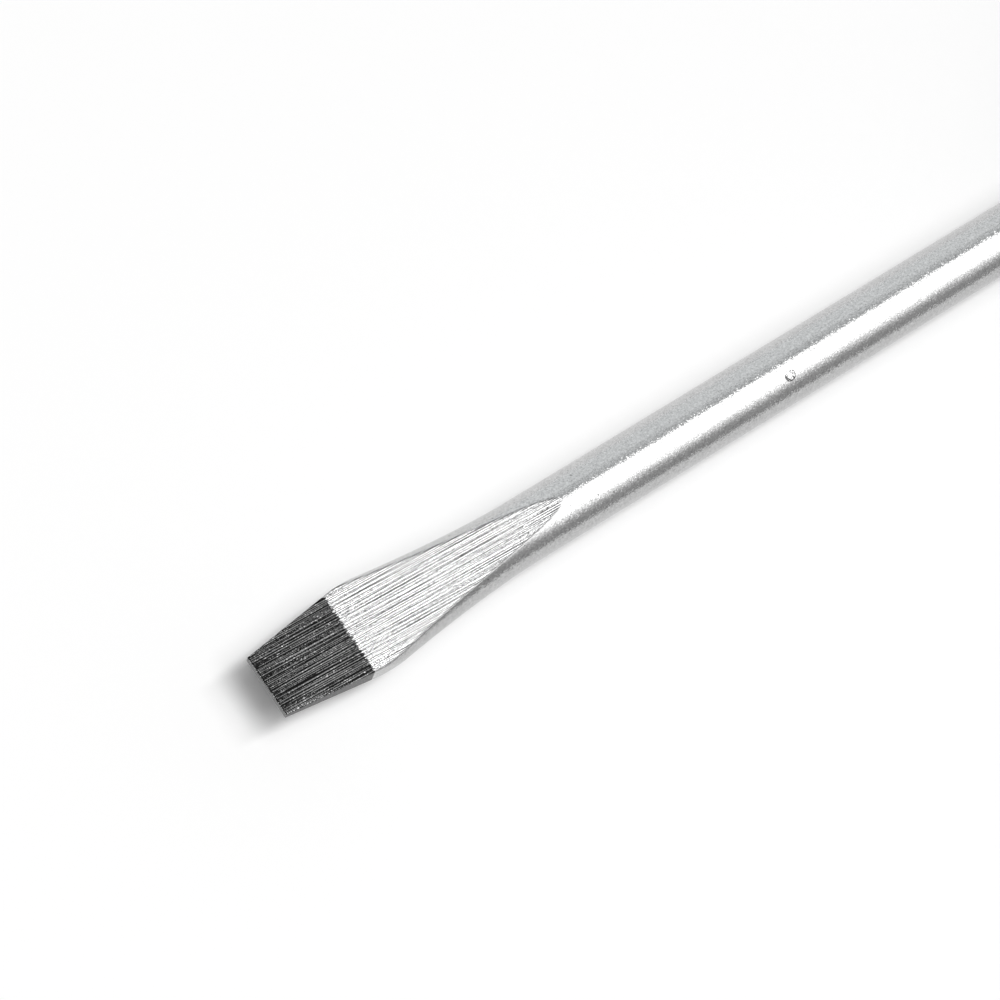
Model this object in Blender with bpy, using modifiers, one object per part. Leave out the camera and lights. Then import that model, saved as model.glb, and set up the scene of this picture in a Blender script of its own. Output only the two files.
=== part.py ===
"""Slotted screwdriver: a forged blade in a six-sided handle with soft grip strips and a pressed-in cap.

The pieces are modelled round the tool's own axis: local Z runs from the tip to the butt with zero at the
front face of the handle, local Y is the width of the tip, and local X points down when the tool lies flat.
"""
import math

import bmesh
import bpy
from mathutils import Matrix

# Blade
SHAFT_DIAMETER = 0.0060
BLADE_REACH = 0.1000
TIP_WIDTH = 0.0061
TIP_THICKNESS = 0.0009
FLARE_WIDTH = 0.0088
FLARE_POSITION = 0.0113
FLARE_POWER = 1.6
FORGE_LENGTH = 0.0270
FORGED_SIDE_HEIGHT = 0.0063
GRIND_LENGTH = 0.0311

# Tang, the end of the blade inside the handle
TANG_COVER = 0.0200
TANG_CHAMFER = 0.0010
WING_COUNT = 2
WING_WIDTH = 0.0092
WING_THICKNESS = 0.0036
WING_LENGTH = 0.0080
WING_RAMP = 0.0025
WING_PITCH = 0.0180
WING_END_MARGIN = 0.0060

# Hard core of the handle
HANDLE_LENGTH = 0.1050
HANDLE_FLATS = 0.0270
CORNER_RATIO = 1.10
NOSE_DIAMETER = 0.0170
NOSE_LENGTH = 0.0050
COLLAR_LENGTH = 0.0095
NECK_FLATS = 0.0172
NECK_POSITION = 0.0280
PALM_POSITION = 0.0660
BUTT_FLATS = 0.0236
BUTT_ROUNDING = 0.0012

# Soft grip strips, one on each side of the handle
SIDES = 6
GRIP_FRONT_WIDTH = 0.0056
GRIP_REAR_WIDTH = 0.0088
GRIP_DEPTH = 0.0020
GRIP_PROUD = 0.0004
GRIP_EDGE = 0.0005
GRIP_FRONT_MARGIN = 0.0045
GRIP_REAR_MARGIN = 0.0055

# End cap and its marker disc
CAP_LENGTH = 0.0070
CAP_INSET = 0.0004
CAP_ROUNDING = 0.0026
PLUG_DIAMETER = 0.0120
PLUG_LENGTH = 0.0100
PLUG_CHAMFER = 0.0008
DISC_DIAMETER = 0.0130
DISC_THICKNESS = 0.0016
DISC_EDGE = 0.0003
MARK_LENGTH = 0.0090
MARK_WIDTH = 0.0016
MARK_DEPTH = 0.0005

# Clearance between pieces that touch
FIT_GAP = 0.0003

# Finishes: colour, roughness, metal
SATIN_CHROME = ((0.62, 0.62, 0.62), 0.30, 1.0)
HARD_PLASTIC = ((0.075, 0.078, 0.082), 0.38, 0.0)
SOFT_RUBBER = ((0.020, 0.020, 0.021), 0.65, 0.0)
CAP_PLASTIC = ((0.22, 0.22, 0.225), 0.42, 0.0)
DISC_PLASTIC = ((0.60, 0.60, 0.60), 0.45, 0.0)

# Facets: steps round a turn and along arcs, flats and sides
ROUND_STEPS = 48
ARC_STEPS = 6
EDGE_STEPS = 3
STRIP_EDGE_STEPS = 2
DISC_EDGE_STEPS = 1
FLAT_STEPS = 6
SIDE_STEPS = 8

# Stations along the blade: before, round and after its widest place, then up to the round shank
FLANK_STATIONS = 3
CORNER_STATIONS = 8
FLARE_STATIONS = 14
CORNER_BEFORE = 0.0028
CORNER_AFTER = 0.0017
ROUND_MARGIN = 0.0006

# Stations along the handle
NECK_STATIONS = 6
PALM_STATIONS = 9
BUTT_STATIONS = 7

# Allowance for cutting, distance at which points merge, and angles in degrees
OVERCUT = 0.0020
MERGE_DISTANCE = 0.000005
APEX_ANGLE = 12
BEVEL_ANGLE = 50
SHARP_ANGLE = 30

# Worked-out places and sizes
SHAFT_RADIUS = SHAFT_DIAMETER / 2
COLLAR_BACK = NOSE_LENGTH + COLLAR_LENGTH
PALM_FLATS = HANDLE_FLATS - 2 * GRIP_PROUD
CAP_SEAT = HANDLE_LENGTH - CAP_LENGTH
CORE_END = CAP_SEAT - FIT_GAP
PLUG_END = CAP_SEAT - PLUG_LENGTH
TANG_LENGTH = PLUG_END - FIT_GAP - TANG_COVER
CAP_RADIUS = BUTT_FLATS / 2 - CAP_INSET
GRIP_START = NECK_POSITION + GRIP_FRONT_MARGIN
GRIP_END = CORE_END - GRIP_REAR_MARGIN
AXIS_HEIGHT = HANDLE_FLATS / 2
NOSE_PLACE = (BLADE_REACH - HANDLE_LENGTH) / 2

# How local axes are taken by a plate: outline along Z and X, or along Z and Y
SIDE_VIEW = Matrix(((0, 1, 0, 0), (0, 0, 1, 0), (1, 0, 0, 0), (0, 0, 0, 1)))
FACE_VIEW = Matrix(((0, 0, -1, 0), (0, 1, 0, 0), (1, 0, 0, 0), (0, 0, 0, 1)))


def spaced(start, end, count):
    """Evenly spaced places from start to end, both included."""
    return [start + (end - start) * i / count for i in range(count + 1)]


def ease(start, end, share):
    """Blend that leaves one value and reaches the other level."""
    return start + (end - start) * (1 - math.cos(math.pi * share)) / 2


def arc(centre, radius, start, end, steps):
    """Points of an arc, angles in degrees."""
    angles = [math.radians(a) for a in spaced(start, end, steps)]
    return [(centre[0] + radius * math.cos(a), centre[1] + radius * math.sin(a)) for a in angles]


def principled(name, finish):
    """Material with one finish."""
    colour, roughness, metallic = finish
    material = bpy.data.materials.new(name)
    material.use_nodes = True
    shader = material.node_tree.nodes["Principled BSDF"]
    shader.inputs["Base Color"].default_value = (*colour, 1)
    shader.inputs["Roughness"].default_value = roughness
    shader.inputs["Metallic"].default_value = metallic
    return material


def place(name, mesh, collection, parent, turn=0.0):
    """Object on the tool's axis, turned about it."""
    piece = bpy.data.objects.new(name, mesh)
    piece.rotation_euler = (0, 0, turn)
    piece.parent = parent
    collection.objects.link(piece)
    return piece


def hide_cutter(cutter):
    """Keep a cutting body out of the finished tool."""
    cutter.hide_render = True
    cutter.display_type = "WIRE"


def baked(piece):
    """Mesh of an object as its modifiers leave it; the object goes."""
    graph = bpy.context.evaluated_depsgraph_get()
    mesh = bpy.data.meshes.new_from_object(piece.evaluated_get(graph))
    bpy.data.objects.remove(piece)
    return mesh


def boolean(piece, tool, operation):
    """Cut a piece with a tool, or keep what both share."""
    modifier = piece.modifiers.new(tool.name, "BOOLEAN")
    modifier.operation = operation
    modifier.object = tool


def bevel(piece, width, segments):
    """Round a piece's sharp edges."""
    modifier = piece.modifiers.new("rounded_edges", "BEVEL")
    modifier.width = width
    modifier.segments = segments
    modifier.limit_method = "ANGLE"
    modifier.angle_limit = math.radians(BEVEL_ANGLE)


def loft(name, rings):
    """Skin through closed rings that have equally many points, closed at both ends."""
    body = bmesh.new()
    rows = [[body.verts.new(point) for point in ring] for ring in rings]
    for near, far in zip(rows, rows[1:]):
        for i in range(len(near)):
            j = (i + 1) % len(near)
            body.faces.new((near[i], near[j], far[j], far[i]))
    body.faces.new(rows[0])
    body.faces.new(rows[-1])
    bmesh.ops.recalc_face_normals(body, faces=body.faces)
    mesh = bpy.data.meshes.new(name)
    body.to_mesh(mesh)
    body.free()
    mesh.shade_smooth()
    mesh.set_sharp_from_angle(angle=math.radians(SHARP_ANGLE))
    return mesh


def turned(name, profile, collection, parent):
    """Body turned about the tool's axis from (radius, place) points that run from the butt to the front."""
    mesh = bpy.data.meshes.new(name)
    points = [(radius, 0, z) for radius, z in profile]
    mesh.from_pydata(points, [(i, i + 1) for i in range(len(points) - 1)], [])
    piece = place(name, mesh, collection, parent)
    screw = piece.modifiers.new("turning", "SCREW")
    screw.axis = "Z"
    screw.steps = ROUND_STEPS
    screw.render_steps = ROUND_STEPS
    screw.use_merge_vertices = True
    screw.merge_threshold = MERGE_DISTANCE
    return piece


def plate(name, outline, thickness, view, collection):
    """Flat outline with a thickness, as a closed body stood in the given view."""
    curve = bpy.data.curves.new(name, "CURVE")
    curve.dimensions = "2D"
    curve.fill_mode = "BOTH"
    curve.extrude = thickness / 2
    spline = curve.splines.new("POLY")
    spline.points.add(len(outline) - 1)
    for point, (u, v) in zip(spline.points, outline):
        point.co = (u, v, 0, 1)
    spline.use_cyclic_u = True
    mesh = baked(place(name, curve, collection, None))
    body = bmesh.new()
    body.from_mesh(mesh)
    bmesh.ops.remove_doubles(body, verts=body.verts, dist=MERGE_DISTANCE)
    body.to_mesh(mesh)
    body.free()
    mesh.transform(view)
    return mesh


def section(half_width, half_height, cut, limit, z):
    """Ring of an oval whose top and bottom are cut flat and whose sides are cut straight."""
    edge_angle = math.asin(min(cut / half_height, math.cos(math.radians(APEX_ANGLE))))
    edge = min(half_width * math.cos(edge_angle), limit)
    ring = []
    for side in (1, -1):
        for share in spaced(-1, 1, FLAT_STEPS)[:-1]:
            across = side * edge * share
            crown = half_height * math.sqrt(max(0, 1 - (across / half_width) ** 2))
            ring.append((-side * min(cut, crown), across, z))
        for angle in spaced(edge_angle, -edge_angle, SIDE_STEPS)[:-1]:
            across = min(half_width * math.cos(angle), limit)
            ring.append((-side * half_height * math.sin(angle), side * across, z))
    return ring


def tip_section(distance):
    """Section of the forged and ground end, at a distance from the tip."""
    forged = max(0, FORGE_LENGTH - distance) / (FORGE_LENGTH - FLARE_POSITION)
    half_width = SHAFT_RADIUS + (FLARE_WIDTH / 2 - SHAFT_RADIUS) * forged ** FLARE_POWER
    half_height = SHAFT_RADIUS + (FORGED_SIDE_HEIGHT / 2 - SHAFT_RADIUS) * forged
    cut = TIP_THICKNESS / 2 + (SHAFT_RADIUS - TIP_THICKNESS / 2) * distance / GRIND_LENGTH
    limit = TIP_WIDTH / 2 + (FLARE_WIDTH - TIP_WIDTH) / 2 * distance / FLARE_POSITION
    return section(half_width, half_height, cut, limit, distance - BLADE_REACH)


def tang_section(z, wing, grow, chamfer=0.0):
    """Section of the tang: round where wing is 0, pressed out to a pair of wings where it is 1."""
    half_width = SHAFT_RADIUS + (WING_WIDTH / 2 - SHAFT_RADIUS) * wing + grow - chamfer
    half_height = SHAFT_RADIUS + grow - chamfer
    cut = SHAFT_RADIUS + (WING_THICKNESS / 2 - SHAFT_RADIUS) * wing + grow
    return section(half_width, half_height, cut, half_width, z)


def tang_rings(grow):
    """Rings of the tang from its wings to its end, grown by a clearance."""
    rings = []
    first_wing = TANG_LENGTH - WING_END_MARGIN - (WING_COUNT - 1) * WING_PITCH - WING_LENGTH
    for i in range(WING_COUNT):
        start = first_wing + i * WING_PITCH
        rings.append(tang_section(start - WING_RAMP - grow, 0, grow))
        rings.append(tang_section(start - grow, 1, grow))
        rings.append(tang_section(start + WING_LENGTH + grow, 1, grow))
        rings.append(tang_section(start + WING_LENGTH + WING_RAMP + grow, 0, grow))
    rings.append(tang_section(TANG_LENGTH - TANG_CHAMFER + grow, 0, grow))
    rings.append(tang_section(TANG_LENGTH + grow, 0, grow, TANG_CHAMFER))
    return rings


def blade_mesh():
    """The whole bar: ground tip, forged flare, round shank and winged tang."""
    corner_start = FLARE_POSITION - CORNER_BEFORE
    corner_end = FLARE_POSITION + CORNER_AFTER
    round_start = max(FORGE_LENGTH, GRIND_LENGTH) + ROUND_MARGIN
    flank = spaced(0, corner_start, FLANK_STATIONS)
    corner = spaced(corner_start, corner_end, CORNER_STATIONS)
    flare = spaced(corner_end, round_start, FLARE_STATIONS)
    distances = flank + corner[1:] + flare[1:]
    return loft("blade", [tip_section(d) for d in distances] + tang_rings(0))


def facet_height(z):
    """Distance of the handle's flats from its axis, at a place along the handle."""
    if z < COLLAR_BACK:
        return HANDLE_FLATS / 2
    if z < NECK_POSITION:
        return ease(HANDLE_FLATS / 2, NECK_FLATS / 2, (z - COLLAR_BACK) / (NECK_POSITION - COLLAR_BACK))
    if z < PALM_POSITION:
        return ease(NECK_FLATS / 2, PALM_FLATS / 2, (z - NECK_POSITION) / (PALM_POSITION - NECK_POSITION))
    fall = math.cos(math.pi / 2 * (z - PALM_POSITION) / (CORE_END - PALM_POSITION))
    return BUTT_FLATS / 2 + (PALM_FLATS - BUTT_FLATS) / 2 * fall


def body_stations():
    """Places along the handle, from the back of the collar to the butt."""
    neck = spaced(COLLAR_BACK, NECK_POSITION, NECK_STATIONS)
    palm = spaced(NECK_POSITION, PALM_POSITION, PALM_STATIONS)
    butt = spaced(PALM_POSITION, CORE_END, BUTT_STATIONS)
    return neck + palm[1:] + butt[1:]


def core_profile():
    """Outer line of the handle over its rounded corners, from the butt to the front."""
    butt_radius = CORNER_RATIO * BUTT_FLATS / 2
    profile = [(0, CORE_END)]
    profile += arc((butt_radius - BUTT_ROUNDING, CORE_END - BUTT_ROUNDING), BUTT_ROUNDING, 90, 0, EDGE_STEPS)
    body = [z for z in body_stations() if z < CORE_END - 2 * BUTT_ROUNDING]
    profile += [(CORNER_RATIO * facet_height(z), z) for z in reversed(body)]
    profile += [(CORNER_RATIO * HANDLE_FLATS / 2, NOSE_LENGTH), (NOSE_DIAMETER / 2, 0), (0, 0)]
    return profile


def facet_outline():
    """Side view of what is cut away above one flat of the handle."""
    outside = CORNER_RATIO * HANDLE_FLATS / 2 + OVERCUT
    line = [(-OVERCUT, HANDLE_FLATS / 2)]
    line += [(z, facet_height(z)) for z in body_stations()]
    line += [(CORE_END + OVERCUT, BUTT_FLATS / 2)]
    return line + [(CORE_END + OVERCUT, outside), (-OVERCUT, outside)]


def grip_side(low, high, reach):
    """Side view of a strip: a band that follows the flat from low to high of it, reaching past both ends."""
    places = [z for z in body_stations() if GRIP_START < z < GRIP_END]
    places = [GRIP_START - reach] + places + [GRIP_END + reach]
    floor = [(z, facet_height(z) + low) for z in places]
    top = [(z, facet_height(z) + high) for z in reversed(places)]
    return floor + top


def grip_face(grow):
    """Front view of a strip: a slot that widens from the neck to the palm."""
    front = GRIP_FRONT_WIDTH / 2
    rear = GRIP_REAR_WIDTH / 2
    front_centre = GRIP_START + front
    rear_centre = GRIP_END - rear
    lean = math.degrees(math.asin((rear - front) / (rear_centre - front_centre)))
    outline = arc((rear_centre, 0), rear + grow, -90 - lean, 90 + lean, 2 * ARC_STEPS)
    outline += arc((front_centre, 0), front + grow, 90 + lean, 270 - lean, 2 * ARC_STEPS)
    return outline


def grip_body(name, low, high, grow, collection):
    """Closed body of a strip, or of the pocket that it lies in."""
    band = plate(name, grip_side(low, high, grow + OVERCUT), 2 * GRIP_REAR_WIDTH, SIDE_VIEW, collection)
    slot = plate(name + "_slot", grip_face(grow), 2 * HANDLE_FLATS, FACE_VIEW, collection)
    piece = place(name, band, collection, None)
    tool = place(name + "_outline", slot, collection, None)
    boolean(piece, tool, "INTERSECT")
    if not grow:
        bevel(piece, GRIP_EDGE, STRIP_EDGE_STEPS)
    mesh = baked(piece)
    bpy.data.objects.remove(tool)
    return mesh


def cap_profile():
    """Outer line of the end cap: recess for the disc, rounded rim, shoulder and plug."""
    recess = DISC_DIAMETER / 2 + FIT_GAP
    plug = PLUG_DIAMETER / 2
    recess_floor = HANDLE_LENGTH - DISC_THICKNESS - FIT_GAP
    rim = (CAP_RADIUS - CAP_ROUNDING, HANDLE_LENGTH - CAP_ROUNDING)
    profile = [(0, recess_floor), (recess, recess_floor), (recess, HANDLE_LENGTH)]
    profile += arc(rim, CAP_ROUNDING, 90, 0, ARC_STEPS)
    profile += [(CAP_RADIUS, CAP_SEAT), (plug, CAP_SEAT)]
    profile += [(plug, PLUG_END + PLUG_CHAMFER), (plug - PLUG_CHAMFER, PLUG_END), (0, PLUG_END)]
    return profile


def cylinder_mesh(name, diameter, low, high):
    """Cylinder on the tool's axis between two places."""
    body = bmesh.new()
    at_middle = Matrix.Translation((0, 0, (low + high) / 2))
    bmesh.ops.create_cone(body, cap_ends=True, segments=ROUND_STEPS, radius1=diameter / 2,
                          radius2=diameter / 2, depth=high - low, matrix=at_middle)
    mesh = bpy.data.meshes.new(name)
    body.to_mesh(mesh)
    body.free()
    return mesh


def box_mesh(name, size, centre):
    """Box with its sides along the local axes."""
    body = bmesh.new()
    scaled = Matrix.Translation(centre) @ Matrix.Diagonal((*size, 1))
    bmesh.ops.create_cube(body, size=1, matrix=scaled)
    mesh = bpy.data.meshes.new(name)
    body.to_mesh(mesh)
    body.free()
    return mesh


def make_blade(parts, axis):
    blade = place("blade", blade_mesh(), parts, axis)
    blade.data.materials.append(principled("satin_chrome", SATIN_CHROME))


def make_core(parts, cutters, axis):
    """Turned handle with six flats, six strip pockets, the tang's seat and the plug's socket."""
    core = turned("handle_core", core_profile(), parts, axis)
    core.data.materials.append(principled("hard_plastic", HARD_PLASTIC))
    facet = plate("flat", facet_outline(), 2 * HANDLE_FLATS, SIDE_VIEW, cutters)
    pocket_floor = -GRIP_DEPTH - FIT_GAP
    pocket = grip_body("pocket", pocket_floor, GRIP_PROUD + OVERCUT, FIT_GAP, cutters)
    tools = []
    for mesh in (facet, pocket):
        for i in range(SIDES):
            turn = 2 * math.pi * i / SIDES
            tools.append(place(f"{mesh.name}_cutter_{i + 1}", mesh, cutters, axis, turn))
    seat = loft("tang_seat", [tang_section(-OVERCUT, 0, FIT_GAP)] + tang_rings(FIT_GAP))
    tools.append(place("tang_seat_cutter", seat, cutters, axis))
    socket = cylinder_mesh("socket", PLUG_DIAMETER + 2 * FIT_GAP, PLUG_END - FIT_GAP, CORE_END + OVERCUT)
    tools.append(place("socket_cutter", socket, cutters, axis))
    for tool in tools:
        hide_cutter(tool)
        boolean(core, tool, "DIFFERENCE")


def make_grips(parts, cutters, axis):
    """Six like strips, each turned on to its own flat."""
    strip = grip_body("grip_strip", -GRIP_DEPTH, GRIP_PROUD, 0.0, cutters)
    strip.materials.append(principled("soft_rubber", SOFT_RUBBER))
    for i in range(SIDES):
        place(f"grip_strip_{i + 1}", strip, parts, axis, 2 * math.pi * i / SIDES)


def make_cap(parts, axis):
    cap = turned("end_cap", cap_profile(), parts, axis)
    cap.data.materials.append(principled("cap_plastic", CAP_PLASTIC))


def make_disc(parts, cutters, axis):
    """Disc flush with the cap's rim, with a sunk bar across it."""
    disc_back = HANDLE_LENGTH - DISC_THICKNESS
    mesh = cylinder_mesh("marker_disc", DISC_DIAMETER, disc_back, HANDLE_LENGTH)
    disc = place("marker_disc", mesh, parts, axis)
    disc.data.materials.append(principled("disc_plastic", DISC_PLASTIC))
    bevel(disc, DISC_EDGE, DISC_EDGE_STEPS)
    bar = box_mesh("mark", (MARK_WIDTH, MARK_LENGTH, 2 * MARK_DEPTH), (0, 0, HANDLE_LENGTH))
    tool = place("mark_cutter", bar, cutters, axis)
    hide_cutter(tool)
    boolean(disc, tool, "DIFFERENCE")


def new_collection(name):
    collection = bpy.data.collections.new(name)
    bpy.context.scene.collection.children.link(collection)
    return collection


def main():
    for leftover in list(bpy.data.objects):
        bpy.data.objects.remove(leftover)
    parts = new_collection("slotted_screwdriver")
    cutters = new_collection("cutters")
    axis = bpy.data.objects.new("tool_axis", None)
    axis.location = (NOSE_PLACE, 0, AXIS_HEIGHT)
    axis.rotation_euler = (0, math.pi / 2, 0)
    parts.objects.link(axis)
    make_blade(parts, axis)
    make_core(parts, cutters, axis)
    make_grips(parts, cutters, axis)
    make_cap(parts, axis)
    make_disc(parts, cutters, axis)
    bpy.context.view_layer.update()


main()
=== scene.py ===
"""Looks of the slotted screwdriver: forged and ground blade, blackened tip, moulded two-material handle."""
import math

import bmesh
import bpy
from mathutils import Matrix, Vector


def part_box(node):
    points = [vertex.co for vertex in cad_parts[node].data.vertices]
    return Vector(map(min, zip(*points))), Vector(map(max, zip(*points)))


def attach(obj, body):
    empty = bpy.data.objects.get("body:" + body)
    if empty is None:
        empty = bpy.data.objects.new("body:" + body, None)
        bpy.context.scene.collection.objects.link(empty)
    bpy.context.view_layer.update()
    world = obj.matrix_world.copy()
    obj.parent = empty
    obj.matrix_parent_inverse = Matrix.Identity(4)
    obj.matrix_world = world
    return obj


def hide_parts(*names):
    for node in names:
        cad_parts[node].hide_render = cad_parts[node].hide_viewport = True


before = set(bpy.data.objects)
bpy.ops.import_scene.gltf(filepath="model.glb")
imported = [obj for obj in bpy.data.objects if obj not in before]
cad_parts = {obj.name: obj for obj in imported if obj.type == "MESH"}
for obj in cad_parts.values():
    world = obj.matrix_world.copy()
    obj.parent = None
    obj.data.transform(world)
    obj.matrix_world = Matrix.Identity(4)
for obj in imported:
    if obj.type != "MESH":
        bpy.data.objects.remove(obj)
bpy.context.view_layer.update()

MM = 0.001

# Where the pieces lie, read from the frame
BLADE_LOW, BLADE_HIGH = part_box("blade")
CORE_LOW, CORE_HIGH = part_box("handle_core")
CAP_LOW, CAP_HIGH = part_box("end_cap")
TIP_X = BLADE_LOW.x
NOSE_X = CORE_LOW.x
BUTT_X = CAP_HIGH.x
AXIS_Z = (BLADE_LOW.z + BLADE_HIGH.z) / 2
SHAFT_RADIUS = (BLADE_HIGH.z - BLADE_LOW.z) / 2

# Blade, measured from its tip
BLADE_REACH = NOSE_X - TIP_X
TIP_WIDTH = 6.1 * MM
TIP_THICKNESS = 0.9 * MM
FLARE_WIDTH = 8.8 * MM
FLARE_POSITION = 11.3 * MM
FLARE_POWER = 1.6
FORGE_LENGTH = 27.0 * MM
FORGED_SIDE_HEIGHT = 6.3 * MM
GRIND_LENGTH = 31.1 * MM
CORNER_BLEND = 0.22 * MM
EDGE_RADIUS = 0.06 * MM
EDGE_ZONE = 0.12 * MM
APEX_ANGLE = math.radians(9)
BLACK_LENGTH = 8.6 * MM
NICK = Vector((TIP_X + 56.21 * MM, -1.11 * MM, AXIS_Z + 2.79 * MM))
CORNER_START = 8.0 * MM
CORNER_END = 13.0 * MM
SHANK_START = 33.0 * MM
GRIND_BLUR = 0.01 * MM
ROUND_SIDE_SHARE = 0.7
FLAT_STEPS = 22
SIDE_STEPS = 13
EDGE_STEPS = 4
TIP_STEPS = 16
CORNER_STEPS = 30
FLARE_STEPS = 60

# Finish of the blade: places in millimetres, densities per millimetre, greys from 0 to 1. A pair holds the
# ends of a soft step, or for flecks their gain and base
LINE_SLANT = 0.060
LINE_BEND = -0.00025
LINE_STRETCH = 0.11
LINE_DENSITY = 12.5
LINE_SPACING = 0.07
LINE_GAIN = 3.2
LINE_DEPTH = 0.002 * MM
STEEL_GRAIN = 9.0
STEEL_GRAIN_DEPTH = 0.012 * MM
STEEL_FLECKS = (1.4, -0.43)
STEEL_GLANCE = 0.92
CELL_DENSITY = 13.0
SPARKLE_TILT = 5.0
GROUND_DARK = 0.07
GROUND_LIGHT = 0.77
GROUND_ROUGHNESS = 0.14
PLATING_DARK = 0.32
PLATING_LIGHT = 0.73
PLATING_ROUGHNESS = 0.08
MOTTLE_DENSITY = 5.0
MOTTLE_SHARE = 0.6
DOT_DENSITY = 0.28
DOT_SIZE = (0.026, 0.012)
DOT_SHARE = 0.8
PIT_REACH = (44.0, 36.0)
PIT_GREY = 0.07
NICK_OUTSIDE = (0.64, 0.54)
NICK_INSIDE = (0.10, 0.35)
NICK_GRAIN = 6.0
NICK_BREAKS = (0.48, 0.54)
# Painted shade along the ground edges: how it fades across the blade, its depth on the near and the far
# side, and its grey
PAINTED_EDGE_SHADE_FADE = (-1.0, 1.0)
PAINTED_EDGE_SHADE_NEAR = 0.85
PAINTED_EDGE_SHADE_FAR = 0.35
PAINTED_EDGE_SHADE_GREY = 0.07

# Black finish of the tip, in the same units
BLACK_BLUR = 0.05
RAGGED_STRETCH = 0.6
RAGGED_DENSITY = 5.0
RAGGED_DEPTH = 0.5
CHIP_REACH = (9.0, 1.0)
CHIP_GRAIN = (0.50, 0.60)
END_FACE = (0.03, 0.01)
END_FACE_WEAR = 0.15
END_LINE = (0.16, 0.10)
END_LINE_GREY = 0.004
SOOT_FLECKS = (1.0, -0.25)
SOOT_POWER = 5.8
SOOT_DARK = 0.006
SOOT_LIGHT = 0.158
SOOT_ROUGHNESS = 0.32
GLINT_CHANCE = (0.93, 0.96)
GLINT_LINES = (0.0, 0.08)
GLINT_GREY = 0.45
FLANK_RISE = (3.0, 8.0)
FLANK_FRONT = 0.06
FLANK_BACK = 0.14
FLANK_GRAIN = (0.3, 0.7)
FLANK_DARK = 0.03

# Tang, measured from the handle's front face
TANG_END = BLADE_HIGH.x - NOSE_X
TANG_CHAMFER = 1.0 * MM
WING_HALF_WIDTH = 4.6 * MM
WING_HALF_HEIGHT = 1.8 * MM
WING_LENGTH = 8.0 * MM
WING_RAMP = 2.5 * MM
WING_STARTS = (TANG_END - 32.0 * MM, TANG_END - 14.0 * MM)
SEAT_GAP = 0.05 * MM

# Handle, measured from its front face
SIDES = 6
HANDLE_FLATS = 27.0 * MM
CORNER_RATIO = 1.10
NOSE_DIAMETER = 17.0 * MM
NOSE_LENGTH = 5.0 * MM
NOSE_EDGE = 0.5 * MM
COLLAR_BACK = 14.5 * MM
NECK_FLATS = 17.2 * MM
NECK_POSITION = 28.0 * MM
PALM_FLATS = 26.2 * MM
PALM_POSITION = 66.0 * MM
BUTT_FLATS = 23.6 * MM
BUTT_ROUNDING = 1.2 * MM
CORE_END = CORE_HIGH.x - NOSE_X
FACET_BLEND = 0.7 * MM
NOSE_MARGIN = 1.0 * MM
CORE_STEPS = 144
NOSE_STEPS = 5
CONE_STEPS = 22
COLLAR_STEPS = 8
PALM_STEPS = 90
BUTT_STEPS = 6
SMOOTH_ANGLE = math.radians(35)

# Grip strips and their ribs
GRIP_START = 32.5 * MM
GRIP_END = CORE_END - 5.5 * MM
GRIP_FRONT_RADIUS = 2.8 * MM
GRIP_REAR_RADIUS = 4.4 * MM
GRIP_FRONT = GRIP_START + GRIP_FRONT_RADIUS
GRIP_REAR = GRIP_END - GRIP_REAR_RADIUS
GRIP_DEPTH = 2.0 * MM
GRIP_PROUD = 0.4 * MM
GRIP_FIELD = 0.1 * MM
GRIP_EDGE = 0.5 * MM
SEAM = 0.12 * MM
RIB_PITCH = 2.3 * MM
RIB_WIDTH = 1.1 * MM
RIB_MARGIN = 0.9 * MM
RIB_SHRINK = 0.458
RIB_LENGTH_POINTS = 7
RIB_ROUNDING = 2
RIB_GUIDE_STEPS = 60
STRIP_FIRST_ANGLE = math.radians(5)
STRIP_END_STEPS = 12
STRIP_STEPS = 48
STRIP_EDGE_STEPS = 5
STRIP_EDGE_SHARE = 0.8

# End cap and marker disc
BUTT = BUTT_X - NOSE_X
CAP_RADIUS = (CAP_HIGH.y - CAP_LOW.y) / 2
CAP_SEAT = CORE_END + 0.3 * MM
CAP_ROUNDING = 2.6 * MM
CAP_LIP = 0.25 * MM
PLUG_RADIUS = 6.0 * MM
PLUG_CHAMFER = 0.8 * MM
PLUG_END = CAP_LOW.x - NOSE_X
DISC_RADIUS = 6.5 * MM
DISC_THICKNESS = 1.6 * MM
DISC_EDGE = 0.3 * MM
MARK_LENGTH = 9.0 * MM
MARK_WIDTH = 1.6 * MM
MARK_DEPTH = 0.5 * MM
TURN_STEPS = 128
LIP_STEPS = 4
RIM_STEPS = 14
MARK_END_STEPS = 10
POLE = 0.01 * MM
OVERCUT = 1.0 * MM

# Moulded plastic and rubber: colours, worn or painted colours, and how uneven they are
CORE_GREY = (0.075, 0.078, 0.082)
CORE_WORN = (0.12, 0.123, 0.127)
RUBBER_BLACK = (0.020, 0.020, 0.021)
RUBBER_WORN = (0.034, 0.034, 0.035)
CAP_GREY = (0.22, 0.22, 0.225)
CAP_WORN = (0.30, 0.30, 0.305)
DISC_GREY = (0.60, 0.60, 0.60)
MARK_PAINT = (0.045, 0.045, 0.047)
MARK_PAINT_DEPTHS = (0.7 * MARK_DEPTH, 0.9 * MARK_DEPTH)
MOULDED_SPECULAR = 0.32
CLOUD_DENSITY = 0.22
SHADE_SPREAD = 0.22
GLOSS_SPREAD = 0.16
WORN_GLOSS = -0.08
WEAR_DENSITY = 1.3
WEAR_BREAKS = (0.42, 0.66)
CORNER_WEAR = (math.radians(22), math.radians(29))

# From the tool's own axes to the frame: local Z along the tool, Y across it and X down
TOOL = Matrix(((0, 0, 1, NOSE_X), (0, 1, 0, 0), (-1, 0, 0, AXIS_Z), (0, 0, 0, 1)))

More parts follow.
